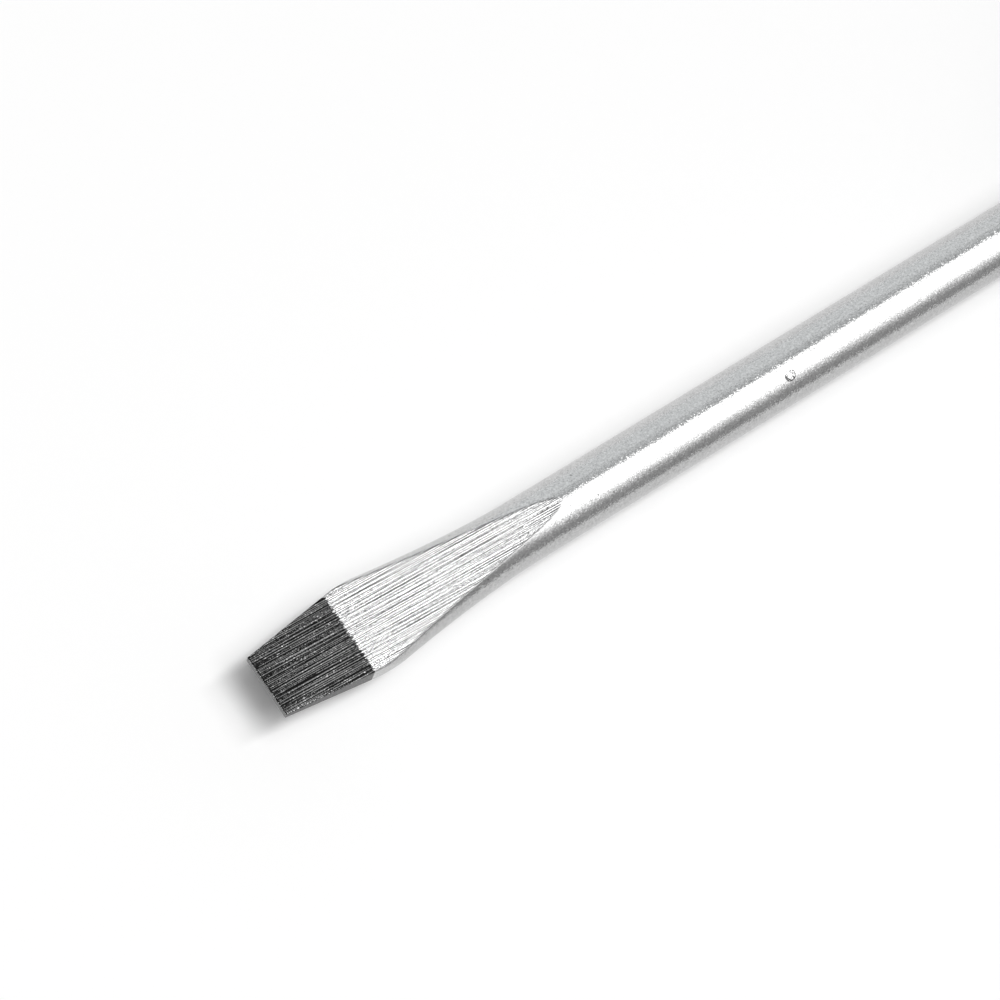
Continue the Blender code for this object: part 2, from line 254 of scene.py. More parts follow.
# Camera, aimed at a point beside the blade's axis, measured from the tip
AIM_FROM_TIP = Vector((27.45, 3.49, 0.0)) * MM
CAMERA_DISTANCE = 326.2 * MM
CAMERA_HEADING = math.radians(59.18)
CAMERA_ELEVATION = math.radians(67.63)
CAMERA_ROLL = math.radians(25.98)
CAMERA_LENS = 131.8
CAMERA_SENSOR = 36.0
CAMERA_NEAR = 10.0 * MM

# Floor sheet: its sides, its shade in the light, to the camera and, as far as the fade, to polished metal,
# which sees the near side painted a darker shade than the far side
FLOOR_SHEET = (-0.35, 0.35, -0.065, 0.30)
FLOOR_DROP = 0.05 * MM
FLOOR_WHITE = 0.92
FLOOR_SEEN = 1.0
FLOOR_NEAR_PAINTED_SHADE = 0.89
FLOOR_FADE = (0.0, 0.02)

# What polished metal sees round the tool's axis: angle from straight up in degrees, level
SOFTBOX = 2.8
REFLECTIONS = [(-90, 0.97), (-40, 0.97), (-34, 0.74), (-16, 0.54), (-8.9, SOFTBOX), (32, SOFTBOX),
               (49, 1.40), (63, 0.71), (76, 0.41), (90, 0.41)]
WALL_TINT = (0.975, 0.998, 1.006)
AMBIENT = 0.215

# Two lamps aimed at a point of the floor below the blade: direction, size and power of each
LAMP_TARGET = Vector((TIP_X + 30.0 * MM, 0, 0))
LAMP_DISTANCE = 2.7
LAMPS = {
    "key": (Vector((-0.085, -0.187, 1.0)), (1.28, 0.22), 34.0),
    "fill": (Vector((-0.085, -0.205, 1.0)), (0.51, 0.85), 25.0),
}


def spaced(start, end, count):
    """Evenly spaced values from start to end, both included."""
    return [start + (end - start) * i / count for i in range(count + 1)]


def ease(start, end, share):
    """Blend that leaves one value level and reaches the other level."""
    return start + (end - start) * (1 - math.cos(math.pi * share)) / 2


def soft_min(a, b, blend):
    """Lesser of two values, rounded off where they cross."""
    near = max(blend - abs(a - b), 0) / blend
    return min(a, b) - near * near * blend / 4


def arc(centre, radius, start, end, steps):
    """Points of an arc, angles in degrees."""
    angles = [math.radians(a) for a in spaced(start, end, steps)]
    return [(centre[0] + radius * math.cos(a), centre[1] + radius * math.sin(a)) for a in angles]


def grey(value):
    return (value, value, value, 1)


# Shader trees

class Tree:
    """Short way to write a shader tree."""

    def __init__(self, owner):
        owner.use_nodes = True
        self.tree = owner.node_tree
        self.tree.nodes.clear()

    def node(self, kind, inputs=(), **settings):
        made = self.tree.nodes.new(kind)
        for name, value in settings.items():
            setattr(made, name, value)
        for key, value in dict(inputs).items():
            self.put(made.inputs[key], value)
        return made

    def put(self, socket, value):
        if isinstance(value, bpy.types.NodeSocket):
            self.tree.links.new(value, socket)
        else:
            socket.default_value = value

    def math(self, operation, a, b=0.0, c=0.0, clamp=False):
        made = self.node("ShaderNodeMath", {0: a, 1: b, 2: c}, operation=operation, use_clamp=clamp)
        return made.outputs[0]

    def step(self, value, low, high):
        """Smooth rise from 0 to 1 between two values."""
        made = self.node("ShaderNodeMapRange", {"Value": value, "From Min": low, "From Max": high},
                         interpolation_type="SMOOTHSTEP")
        return made.outputs["Result"]

    def blend(self, share, a, b):
        """Mix of two numbers."""
        made = self.node("ShaderNodeMix", {"Factor": share, "A": a, "B": b}, data_type="FLOAT")
        return made.outputs["Result"]

    def tint(self, share, a, b):
        """Mix of two colours."""
        made = self.node("ShaderNodeMix", data_type="RGBA")
        self.put(made.inputs["Factor"], share)
        self.put(made.inputs[6], a)
        self.put(made.inputs[7], b)
        return made.outputs[2]

    def noise(self, vector, scale, detail=2.0, roughness=0.5):
        made = self.node("ShaderNodeTexNoise", {"Vector": vector, "Scale": scale, "Detail": detail,
                                                "Roughness": roughness})
        return made.outputs["Fac"]

    def vector(self, x, y, z):
        return self.node("ShaderNodeCombineXYZ", {"X": x, "Y": y, "Z": z}).outputs[0]

    def parts(self, vector):
        """The three numbers of a vector, by the names X, Y and Z."""
        return self.node("ShaderNodeSeparateXYZ", {0: vector}).outputs

    def vectors(self, operation, a, b):
        """Sum, difference or product of two vectors."""
        return self.node("ShaderNodeVectorMath", {0: a, 1: b}, operation=operation).outputs[0]

    def scaled(self, vector, scale):
        return self.node("ShaderNodeVectorMath", {0: vector, "Scale": scale}, operation="SCALE").outputs[0]

    def millimetres(self):
        """Place on the tool in millimetres."""
        place = self.node("ShaderNodeTexCoord").outputs["Object"]
        return self.vectors("MULTIPLY", place, (1 / MM, 1 / MM, 1 / MM))

    def attribute(self, name):
        return self.node("ShaderNodeAttribute", attribute_name=name).outputs["Fac"]

    def bump(self, height, distance, normal=None):
        inputs = {"Height": height, "Distance": distance, "Strength": 1.0}
        if normal is not None:
            inputs["Normal"] = normal
        return self.node("ShaderNodeBump", inputs).outputs[0]

    def facets(self, cell, tilt):
        """Normal that leans as each small cell's random colour says, in a few of them a lot."""
        lean = self.vectors("SUBTRACT", cell, (0.5, 0.5, 0.5))
        square = self.vectors("MULTIPLY", lean, lean)
        cube = self.vectors("MULTIPLY", lean, square)
        fifth = self.vectors("MULTIPLY", cube, square)
        normal = self.node("ShaderNodeNewGeometry").outputs["Normal"]
        leant = self.vectors("ADD", normal, self.scaled(fifth, tilt))
        return self.node("ShaderNodeVectorMath", {0: leant}, operation="NORMALIZE").outputs[0]

    def surface(self, inputs):
        shader = self.node("ShaderNodeBsdfPrincipled", inputs)
        self.node("ShaderNodeOutputMaterial", {"Surface": shader.outputs[0]})


class BladeTree(Tree):
    """Shader tree of the blade, with what its finishes share, in millimetres from the tip."""

    def __init__(self, owner):
        super().__init__(owner)
        self.mm = self.millimetres()
        place = self.parts(self.mm)
        self.along = self.math("SUBTRACT", place["X"], TIP_X / MM)
        self.across = place["Y"]
        self.ground = self.attribute("ground")
        self.edge = self.attribute("edge")
        self.grain = self.noise(self.mm, STEEL_GRAIN, detail=1.0, roughness=0.4)
        slant = self.math("MULTIPLY_ADD", self.along, LINE_BEND, LINE_SLANT)
        self.lane = self.math("ADD", self.across, self.math("MULTIPLY", self.along, slant))
        self.lines = self.grinding_lines()
        cells = self.node("ShaderNodeTexVoronoi", {"Vector": self.mm, "Scale": CELL_DENSITY})
        self.cell = cells.outputs["Color"]
        self.chance = self.parts(self.cell)
        self.fleck = self.math("SQRT", self.chance["X"])
        self.end_face = self.step(self.along, *END_FACE)
        self.dots = self.scattered_dots()

    def streaks(self, lane, stretch, density):
        """Noise drawn out along the blade."""
        drawn_out = self.math("MULTIPLY", self.along, stretch)
        packed = self.math("MULTIPLY", lane, density)
        made = self.node("ShaderNodeTexNoise", {"Vector": self.vector(drawn_out, packed, 0.0), "Scale": 1.0,
                                                "Detail": 0.0}, noise_dimensions="2D")
        return made.outputs["Fac"]

    def grinding_lines(self):
        """Even fine lines, a little aslant: what drawn-out noise gains from one lane to the next."""
        beside = self.math("ADD", self.lane, LINE_SPACING)
        return self.math("SUBTRACT", self.streaks(self.lane, LINE_STRETCH, LINE_DENSITY),
                         self.streaks(beside, LINE_STRETCH, LINE_DENSITY))

    def tone(self, fleck_gain, fleck_base):
        """How light a ground face is: lines, broken up by flecks."""
        flecks = self.math("MULTIPLY_ADD", self.fleck, fleck_gain, fleck_base)
        return self.math("MULTIPLY_ADD", self.lines, LINE_GAIN, flecks, clamp=True)

    def scattered_dots(self):
        """Small round dots, far apart."""
        flat = self.vector(self.along, self.across, 0.0)
        made = self.node("ShaderNodeTexVoronoi", {"Vector": flat, "Scale": DOT_DENSITY},
                         voronoi_dimensions="2D")
        return self.math("MULTIPLY", self.step(made.outputs["Distance"], *DOT_SIZE), DOT_SHARE)

    def black(self):
        """How far the black finish reaches: to a ragged line."""
        ragged = self.streaks(self.lane, RAGGED_STRETCH, RAGGED_DENSITY)
        end = self.math("MULTIPLY_ADD", ragged, RAGGED_DEPTH, BLACK_LENGTH / MM - RAGGED_DEPTH / 2)
        return self.step(self.math("SUBTRACT", self.along, end), BLACK_BLUR, -BLACK_BLUR)

    def rubbed(self):
        """Where the black is rubbed through: chips along the edges, the end face and a few dots."""
        near_edge = self.math("MULTIPLY", self.edge, self.step(self.along, *CHIP_REACH))
        chips = self.math("MULTIPLY", near_edge, self.step(self.grain, *CHIP_GRAIN))
        worn = self.math("MAXIMUM", chips, self.math("MULTIPLY", self.end_face, END_FACE_WEAR))
        return self.math("MAXIMUM", worn, self.dots)

    def nick(self):
        """Broken ring round a small nick in the plating."""
        away = self.node("ShaderNodeVectorMath", {0: self.mm, 1: NICK / MM}, operation="DISTANCE")
        distance = away.outputs["Value"]
        ring = self.math("MULTIPLY", self.step(distance, *NICK_OUTSIDE), self.step(distance, *NICK_INSIDE))
        breaks = self.step(self.noise(self.mm, NICK_GRAIN, detail=1.0), *NICK_BREAKS)
        return self.math("MULTIPLY", ring, breaks)

    def steel(self, tone):
        """Bare steel: lines on the ground faces, and satin plating with pits and a nick elsewhere."""
        mottle = self.noise(self.mm, MOTTLE_DENSITY, detail=0.0)
        satin = self.blend(MOTTLE_SHARE, self.fleck, mottle)
        plating = self.tint(satin, grey(PLATING_DARK), grey(PLATING_LIGHT))
        flats = self.tint(tone, grey(GROUND_DARK), grey(GROUND_LIGHT))
        pit_zone = self.math("SUBTRACT", self.step(self.along, *PIT_REACH), self.ground, clamp=True)
        pits = self.math("MAXIMUM", self.math("MULTIPLY", self.dots, pit_zone), self.nick())
        return self.tint(pits, self.tint(self.ground, plating, flats), grey(PIT_GREY))

    def soot(self):
        """Black finish: lines with glints on the ground faces, plain flanks and a dark line at the end."""
        light = self.math("POWER", self.tone(*SOOT_FLECKS), SOOT_POWER)
        face = self.tint(light, grey(SOOT_DARK), grey(SOOT_LIGHT))
        on_line = self.step(self.lines, *GLINT_LINES)
        glints = self.math("MULTIPLY", self.step(self.chance["Y"], *GLINT_CHANCE), on_line)
        face = self.tint(glints, face, grey(GLINT_GREY))
        flank = self.tint(self.step(self.along, *FLANK_RISE), grey(FLANK_FRONT), grey(FLANK_BACK))
        flank = self.tint(self.step(self.grain, *FLANK_GRAIN), grey(FLANK_DARK), flank)
        end_line = self.math("SUBTRACT", self.step(self.along, *END_LINE), self.end_face)
        return self.tint(end_line, self.tint(self.ground, flank, face), grey(END_LINE_GREY))

    def rim(self, black):
        """Painted shade: a dark line along the ground edges behind the black, fainter on the far side."""
        shade_depth = self.blend(self.step(self.across, *PAINTED_EDGE_SHADE_FADE), PAINTED_EDGE_SHADE_NEAR, PAINTED_EDGE_SHADE_FAR)
        return self.math("MULTIPLY", self.math("MULTIPLY", self.edge, shade_depth),
                         self.math("SUBTRACT", 1.0, black))


def blade_steel():
    """Satin chrome with ground flats and a blackened tip."""
    material = bpy.data.materials.new("blade_steel")
    t = BladeTree(material)
    tone = t.tone(*STEEL_FLECKS)
    black = t.black()
    coat = t.math("MULTIPLY", black, t.math("SUBTRACT", 1.0, t.rubbed()))
    # The bare steel takes a painted shade, a dark line along its ground edges
    bare = t.tint(t.rim(black), t.steel(tone), grey(PAINTED_EDGE_SHADE_GREY))
    roughness = t.blend(coat, t.blend(t.ground, PLATING_ROUGHNESS, GROUND_ROUGHNESS), SOOT_ROUGHNESS)
    sparkle = t.facets(t.cell, t.blend(t.ground, SPARKLE_TILT, 0.0))
    grain_bump = t.bump(t.grain, STEEL_GRAIN_DEPTH, sparkle)
    line_bump = t.bump(t.math("MULTIPLY", tone, t.ground), LINE_DEPTH, grain_bump)
    t.surface({"Base Color": t.tint(coat, bare, t.soot()), "Roughness": roughness, "Metallic": 1.0,
               "Normal": line_bump, "Specular Tint": grey(STEEL_GLANCE)})
    return material


def scuffed(t, mm, zone):
    """Broken rubbing within a zone."""
    patches = t.noise(mm, WEAR_DENSITY, detail=3.0, roughness=0.6)
    return t.math("MULTIPLY", zone, t.step(patches, *WEAR_BREAKS))


def corner_wear(t, mm):
    """Rubbed corners of the six-sided handle."""
    place = t.parts(mm)
    down = t.math("SUBTRACT", AXIS_Z / MM, place["Z"])
    turn = t.math("ARCTAN2", place["Y"], down)
    from_flat = t.math("PINGPONG", turn, math.pi / SIDES)
    return scuffed(t, mm, t.step(from_flat, *CORNER_WEAR))


def rib_wear(t, mm):
    """Rubbed tops of the ribs."""
    return scuffed(t, mm, t.attribute("rib"))


def rim_wear(t, mm):
    """Rubbed rim of the end cap."""
    return scuffed(t, mm, t.step(t.parts(mm)["X"], (BUTT_X - CAP_ROUNDING) / MM, BUTT_X / MM))


def bar_paint(t, mm):
    """Paint in the sunk bar of the marker disc."""
    shallow, deep = MARK_PAINT_DEPTHS
    return t.step(t.parts(mm)["X"], (BUTT_X - shallow) / MM, (BUTT_X - deep) / MM)


def moulded(name, colour, second, second_zone, roughness, grain_density, grain_depth):
    """Moulded plastic or rubber with fine grain, uneven colour and gloss, and a second colour in a zone."""
    material = bpy.data.materials.new(name)
    t = Tree(material)
    mm = t.millimetres()
    grain = t.noise(mm, grain_density, roughness=0.55)
    cloud = t.noise(mm, CLOUD_DENSITY, detail=3.0, roughness=0.6)
    dark = tuple((1 - SHADE_SPREAD) * c for c in colour) + (1,)
    light = tuple((1 + SHADE_SPREAD) * c for c in colour) + (1,)
    zone = second_zone(t, mm)
    base = t.tint(t.blend(0.5, cloud, grain), dark, light)
    gloss = t.math("MULTIPLY_ADD", cloud, GLOSS_SPREAD, roughness - GLOSS_SPREAD / 2)
    t.surface({"Base Color": t.tint(zone, base, second + (1,)),
               "Roughness": t.math("MULTIPLY_ADD", zone, WORN_GLOSS, gloss),
               "Specular IOR Level": MOULDED_SPECULAR, "Normal": t.bump(grain, grain_depth)})
    return material


# Meshes

def skin(rings):
    """Closed body through rings of equally many points."""
    body = bmesh.new()
    rows = [[body.verts.new(point) for point in ring] for ring in rings]
    for near, far in zip(rows, rows[1:]):
        for i in range(len(near)):
            j = (i + 1) % len(near)
            body.faces.new((near[i], near[j], far[j], far[i]))
    body.faces.new(rows[0])
    body.faces.new(rows[-1])
    bmesh.ops.recalc_face_normals(body, faces=body.faces)
    return body


def mesh_of(name, body):
    mesh = bpy.data.meshes.new(name)
    body.to_mesh(mesh)
    body.free()
    return mesh


def turned(name, profile):
    """Body turned about the tool's axis from (radius, place) points."""
    angles = [2 * math.pi * i / TURN_STEPS for i in range(TURN_STEPS)]
    rings = [[(radius * math.cos(a), radius * math.sin(a), z) for a in angles] for radius, z in profile]
    return mesh_of(name, skin(rings))


def add_object(name, data):
    made = bpy.data.objects.new(name, data)
    bpy.context.scene.collection.objects.link(made)
    return made


def baked(holder):
    """Plain mesh of an object as its modifiers leave it; the object goes."""
    graph = bpy.context.evaluated_depsgraph_get()
    mesh = bpy.data.meshes.new_from_object(holder.evaluated_get(graph))
    bpy.data.objects.remove(holder)
    return mesh


def cut_away(mesh, cutters):
    """Mesh less the cutters."""
    holder = add_object("uncut", mesh)
    tools = [add_object("cutter", cutter) for cutter in cutters]
    for tool in tools:
        cut = holder.modifiers.new(tool.name, "BOOLEAN")
        cut.operation = "DIFFERENCE"
        cut.object = tool
    done = baked(holder)
    for tool in tools:
        bpy.data.objects.remove(tool)
    return done


def finish_piece(name, mesh, material, node):
    """Piece in the frame, from a mesh in the tool's own axes, that takes a node's place."""
    mesh.transform(TOOL)
    mesh.materials.clear()
    mesh.materials.append(material)
    mesh.shade_smooth()
    mesh.set_sharp_from_angle(angle=SMOOTH_ANGLE)
    piece = add_object(name, mesh)
    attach(piece, "root")
    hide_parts(node)


# Blade

def tip_sizes(distance):
    """Half width, half height, ground height and side limit of the blade at a distance from its tip."""
    forged = max(0, FORGE_LENGTH - distance) / (FORGE_LENGTH - FLARE_POSITION)
    half_width = SHAFT_RADIUS + (FLARE_WIDTH / 2 - SHAFT_RADIUS) * forged ** FLARE_POWER
    half_height = SHAFT_RADIUS + (FORGED_SIDE_HEIGHT / 2 - SHAFT_RADIUS) * forged
    cut = TIP_THICKNESS / 2 + (SHAFT_RADIUS - TIP_THICKNESS / 2) * distance / GRIND_LENGTH
    limit = TIP_WIDTH / 2 + (FLARE_WIDTH - TIP_WIDTH) / 2 * distance / FLARE_POSITION
    inset = 0
    if distance < EDGE_RADIUS:
        inset = EDGE_RADIUS - math.sqrt(EDGE_RADIUS ** 2 - (EDGE_RADIUS - distance) ** 2)
    return half_width, half_height, cut - inset, limit - inset


def wing_share(z):
    """How far the tang is pressed out to its wings, from 0 to 1."""
    shares = [0]
    for start in WING_STARTS:
        rise = (z - start) / WING_RAMP + 1
        fall = (start + WING_LENGTH - z) / WING_RAMP + 1
        shares.append(min(1, rise, fall))
    return max(shares)


def tang_sizes(z, grow, chamfer=0.0):
    """The same four sizes for the tang at a place in the handle, grown by a clearance."""
    wing = wing_share(z)
    half_width = SHAFT_RADIUS + (WING_HALF_WIDTH - SHAFT_RADIUS) * wing + grow - chamfer
    half_height = SHAFT_RADIUS + grow - chamfer
    cut = SHAFT_RADIUS + (WING_HALF_HEIGHT - SHAFT_RADIUS) * wing + grow
    return half_width, half_height, cut, 2 * half_width


def bar_ring(half_width, half_height, cut, limit):
    """Section of the bar: across, up, how ground each point is and how near a ground edge it lies."""

    def side_at(up):
        oval = half_width * math.sqrt(max(0, 1 - (up / half_height) ** 2))
        return soft_min(oval, limit, CORNER_BLEND)

    top = min(cut, half_height * math.cos(APEX_ANGLE))
    edge = side_at(top)
    shoulder = top - EDGE_RADIUS
    flat_end = edge - EDGE_RADIUS
    quarter = []
    for across in spaced(0, flat_end - EDGE_ZONE, FLAT_STEPS) + [flat_end]:
        crown = half_height * math.sqrt(max(0, 1 - (across / half_width) ** 2))
        sunk = min(1, max(0, (crown - cut) / GRIND_BLUR))
        quarter.append((across, min(cut, crown), sunk, 0))
    across, up, corner_cut, _ = quarter.pop()
    quarter.append((across, up, corner_cut, corner_cut))
    first = (across, up)
    last = (side_at(shoulder), shoulder)
    for share in spaced(0, 1, EDGE_STEPS)[1:]:
        keep, pull, reach = (1 - share) ** 2, 2 * share * (1 - share), share ** 2
        across = keep * first[0] + pull * edge + reach * last[0]
        up = keep * first[1] + pull * top + reach * last[1]
        quarter.append((across, up, corner_cut * (1 - share), corner_cut * (1 - share)))
    round_side = top > ROUND_SIDE_SHARE * half_height
    for share in spaced(0, 1, SIDE_STEPS)[1:]:
        up = shoulder * (math.cos(share * math.pi / 2) if round_side else 1 - share)
        quarter.append((side_at(up), up, 0, 0))
    right = quarter + [(a, -u, g, e) for a, u, g, e in reversed(quarter[:-1])]
    left = [(-a, u, g, e) for a, u, g, e in reversed(right[1:-1])]
    return right + left


def tip_distances():
    """Stations along the blade up to the round shank, close together where its shape changes."""
    end = [EDGE_RADIUS * (1 - math.cos(a)) for a in spaced(0, math.pi / 2, EDGE_STEPS)]
    tip = spaced(EDGE_RADIUS, CORNER_START, TIP_STEPS)
    corner = spaced(CORNER_START, CORNER_END, CORNER_STEPS)
    flare = spaced(CORNER_END, SHANK_START, FLARE_STEPS)
    return end + tip[1:] + corner[1:] + flare[1:]


def tang_stations():
    """Places along the tang from the handle's front face to its end."""
    places = [0]
    for start in WING_STARTS:
        places += [start - WING_RAMP, start, start + WING_LENGTH, start + WING_LENGTH + WING_RAMP]
    return places + [TANG_END - TANG_CHAMFER]


def make_blade():
    """The whole bar: ground tip, forged flare, round shank and winged tang."""
    rows = []
    for distance in tip_distances():
        near_end = math.sin(math.pi * min(1, distance / EDGE_RADIUS))
        ring = bar_ring(*tip_sizes(distance))
        rows.append([((-u, a, distance - BLADE_REACH), g, max(e, near_end)) for a, u, g, e in ring])
    for z in tang_stations():
        rows.append([((-u, a, z), 0, 0) for a, u, _, _ in bar_ring(*tang_sizes(z, 0))])
    last = bar_ring(*tang_sizes(TANG_END, 0, TANG_CHAMFER))
    rows.append([((-u, a, TANG_END), 0, 0) for a, u, _, _ in last])
    body = skin([[point for point, _, _ in row] for row in rows])
    ground = body.verts.layers.float.new("ground")
    edge = body.verts.layers.float.new("edge")
    marks = [(ground_share, edge_share) for row in rows for _, ground_share, edge_share in row]
    for vert, (ground_share, edge_share) in zip(body.verts, marks):
        vert[ground] = ground_share
        vert[edge] = edge_share
    finish_piece("forged_blade", mesh_of("forged_blade", body), blade_steel(), "blade")


# Handle

def facet_height(z):
    """Distance of the handle's flats from its axis."""
    if z < COLLAR_BACK:
        return HANDLE_FLATS / 2
    if z < NECK_POSITION:
        return ease(HANDLE_FLATS / 2, NECK_FLATS / 2, (z - COLLAR_BACK) / (NECK_POSITION - COLLAR_BACK))
    if z < PALM_POSITION:
        return ease(NECK_FLATS / 2, PALM_FLATS / 2, (z - NECK_POSITION) / (PALM_POSITION - NECK_POSITION))
    fall = math.cos(math.pi / 2 * (z - PALM_POSITION) / (CORE_END - PALM_POSITION))
    return BUTT_FLATS / 2 + (PALM_FLATS - BUTT_FLATS) / 2 * fall


def corner_radius(z):
    """Radius over the handle's corners: a cone at the nose, round edges at the nose and the butt."""
    radius = CORNER_RATIO * facet_height(z)
    if z < NOSE_LENGTH:
        radius = NOSE_DIAMETER / 2 + (radius - NOSE_DIAMETER / 2) * z / NOSE_LENGTH
    if z < NOSE_EDGE:
        radius -= NOSE_EDGE - math.sqrt(NOSE_EDGE ** 2 - (NOSE_EDGE - z) ** 2)
    past = z - (CORE_END - BUTT_ROUNDING)
    if past > 0:
        radius -= BUTT_ROUNDING - math.sqrt(max(0, BUTT_ROUNDING ** 2 - past ** 2))
    return radius


def core_ring(z):
    """Six-sided ring with round corners."""
    sector = 2 * math.pi / SIDES
    ring = []
    for i in range(CORE_STEPS):
        angle = 2 * math.pi * i / CORE_STEPS
        from_flat = (angle + sector / 2) % sector - sector / 2
        radius = soft_min(corner_radius(z), facet_height(z) / math.cos(from_flat), FACET_BLEND)
        ring.append((radius * math.cos(angle), radius * math.sin(angle), z))
    return ring


def core_stations():
    """Places along the handle, close together at its edges."""
    nose_end = NOSE_LENGTH + NOSE_MARGIN
    nose = [NOSE_EDGE * (1 - math.cos(a)) for a in spaced(0, math.pi / 2, NOSE_STEPS)]
    cone = spaced(NOSE_EDGE, nose_end, CONE_STEPS)
    collar = spaced(nose_end, COLLAR_BACK, COLLAR_STEPS)
    palm = spaced(COLLAR_BACK, CORE_END - BUTT_ROUNDING, PALM_STEPS)
    butt = [CORE_END - BUTT_ROUNDING * (1 - math.sin(a)) for a in spaced(0, math.pi / 2, BUTT_STEPS)]
    return nose + cone[1:] + collar[1:] + palm[1:] + butt[1:]


def half_slot(z):
    """Half width of a grip strip: round ends and sides that widen towards the palm."""
    if z < GRIP_FRONT:
        return math.sqrt(max(0, GRIP_FRONT_RADIUS ** 2 - (GRIP_FRONT - z) ** 2))
    if z > GRIP_REAR:
        return math.sqrt(max(0, GRIP_REAR_RADIUS ** 2 - (z - GRIP_REAR) ** 2))
    share = (z - GRIP_FRONT) / (GRIP_REAR - GRIP_FRONT)
    return GRIP_FRONT_RADIUS + (GRIP_REAR_RADIUS - GRIP_FRONT_RADIUS) * share


def strip_stations():
    """Places along a strip, close together round its ends."""
    angles = spaced(STRIP_FIRST_ANGLE, math.pi / 2, STRIP_END_STEPS)
    start = [GRIP_FRONT - GRIP_FRONT_RADIUS * math.cos(a) for a in angles]
    end = [GRIP_REAR + GRIP_REAR_RADIUS * math.cos(a) for a in reversed(angles)]
    return start + spaced(GRIP_FRONT, GRIP_REAR, STRIP_STEPS)[1:-1] + end


def strip_body(low, high, grow, edge):
    """Strip that follows its flat, from low to high of it, with rounded upper edges."""
    rings = []
    for z in strip_stations():
        facet = facet_height(z)
        half = half_slot(z) + grow
        radius = min(edge, STRIP_EDGE_SHARE * half)
        corner = arc((half - radius, facet + high - radius), radius, 0, 90, STRIP_EDGE_STEPS)
        right = [(facet + low, half, z)] + [(x, y, z) for y, x in corner]
        left = [(x, -y, z) for x, y, z in reversed(right)]
        rings.append(right + left)
    return skin(rings)


def turned_copy(mesh, side):
    """Copy of a mesh, turned to one of the handle's sides."""
    copy = mesh.copy()
    copy.transform(Matrix.Rotation(2 * math.pi * side / SIDES, 4, "Z"))
    return copy


def tang_seat():
    """Hollow for the tang, open at the handle's front face."""
    places = [-OVERCUT] + tang_stations()[1:] + [TANG_END + SEAT_GAP]
    rings = [[(-u, a, z) for a, u, _, _ in bar_ring(*tang_sizes(z, SEAT_GAP))] for z in places]
    return mesh_of("tang_seat", skin(rings))


def make_core():
    """Handle with the seat of the tang, the socket of the plug and six pockets."""
    uncut = mesh_of("moulded_core", skin([core_ring(z) for z in core_stations()]))
    bore = PLUG_RADIUS + SEAM
    socket = turned("socket", [(bore, PLUG_END - SEAM), (bore, CORE_END + OVERCUT)])
    pocket = mesh_of("pocket", strip_body(-GRIP_DEPTH - SEAM, 2 * OVERCUT, SEAM, POLE))
    pockets = [turned_copy(pocket, side) for side in range(SIDES)]
    mesh = cut_away(uncut, [tang_seat(), socket] + pockets)
    finish = moulded("core_plastic", CORE_GREY, CORE_WORN, corner_wear,
                     roughness=0.40, grain_density=3.5, grain_depth=0.04 * MM)
    finish_piece("moulded_core", mesh, finish, "handle_core")


RIB_INPUTS = {
    "Pitch": RIB_PITCH,
    "Width": RIB_WIDTH,
    "Height": (GRIP_PROUD - GRIP_FIELD) / RIB_SHRINK,
    "Front length": 2 * (GRIP_FRONT_RADIUS - RIB_MARGIN),
    "Rear length": 2 * (GRIP_REAR_RADIUS - RIB_MARGIN),
}


def rib_tree(material):
    """Rounded bars set across a guide line at an even pitch, longer towards its end."""
    tree = bpy.data.node_groups.new("grip_ribs", "GeometryNodeTree")
    face = tree.interface
    face.new_socket("Geometry", in_out="INPUT", socket_type="NodeSocketGeometry")
    for name in RIB_INPUTS:
        face.new_socket(name, in_out="INPUT", socket_type="NodeSocketFloat")
    face.new_socket("Geometry", in_out="OUTPUT", socket_type="NodeSocketGeometry")
    nodes, link = tree.nodes, tree.links.new
    sizes = nodes.new("NodeGroupInput").outputs

    places = nodes.new("GeometryNodeResampleCurve")
    places.mode = "LENGTH"
    link(sizes["Geometry"], places.inputs["Curve"])
    link(sizes["Pitch"], places.inputs["Length"])

    bar = nodes.new("GeometryNodeMeshCube")
    bar.inputs["Size"].default_value = (1, 1, 1)
    bar.inputs["Vertices Y"].default_value = RIB_LENGTH_POINTS
    rounded = nodes.new("GeometryNodeSubdivisionSurface")
    rounded.inputs["Level"].default_value = RIB_ROUNDING
    link(bar.outputs["Mesh"], rounded.inputs["Mesh"])

    heading = nodes.new("FunctionNodeAlignRotationToVector")
    heading.axis = "X"
    heading.pivot_axis = "Y"
    link(nodes.new("GeometryNodeInputTangent").outputs["Tangent"], heading.inputs["Vector"])

    length = nodes.new("ShaderNodeMapRange")
    link(nodes.new("GeometryNodeSplineParameter").outputs["Factor"], length.inputs["Value"])
    link(sizes["Front length"], length.inputs["To Min"])
    link(sizes["Rear length"], length.inputs["To Max"])
    scale = nodes.new("ShaderNodeCombineXYZ")
    link(sizes["Width"], scale.inputs["X"])
    link(length.outputs["Result"], scale.inputs["Y"])
    link(sizes["Height"], scale.inputs["Z"])

    ribs = nodes.new("GeometryNodeInstanceOnPoints")
    link(places.outputs["Curve"], ribs.inputs["Points"])
    link(rounded.outputs["Mesh"], ribs.inputs["Instance"])
    link(heading.outputs["Rotation"], ribs.inputs["Rotation"])
    link(scale.outputs["Vector"], ribs.inputs["Scale"])
    real = nodes.new("GeometryNodeRealizeInstances")
    link(ribs.outputs["Instances"], real.inputs["Geometry"])
    marked = nodes.new("GeometryNodeStoreNamedAttribute")
    marked.inputs["Name"].default_value = "rib"
    marked.inputs["Value"].default_value = 1.0
    link(real.outputs["Geometry"], marked.inputs["Geometry"])
    finished = nodes.new("GeometryNodeSetMaterial")
    finished.inputs["Material"].default_value = material
    link(marked.outputs["Geometry"], finished.inputs["Geometry"])
    link(finished.outputs["Geometry"], nodes.new("NodeGroupOutput").inputs["Geometry"])
    return tree


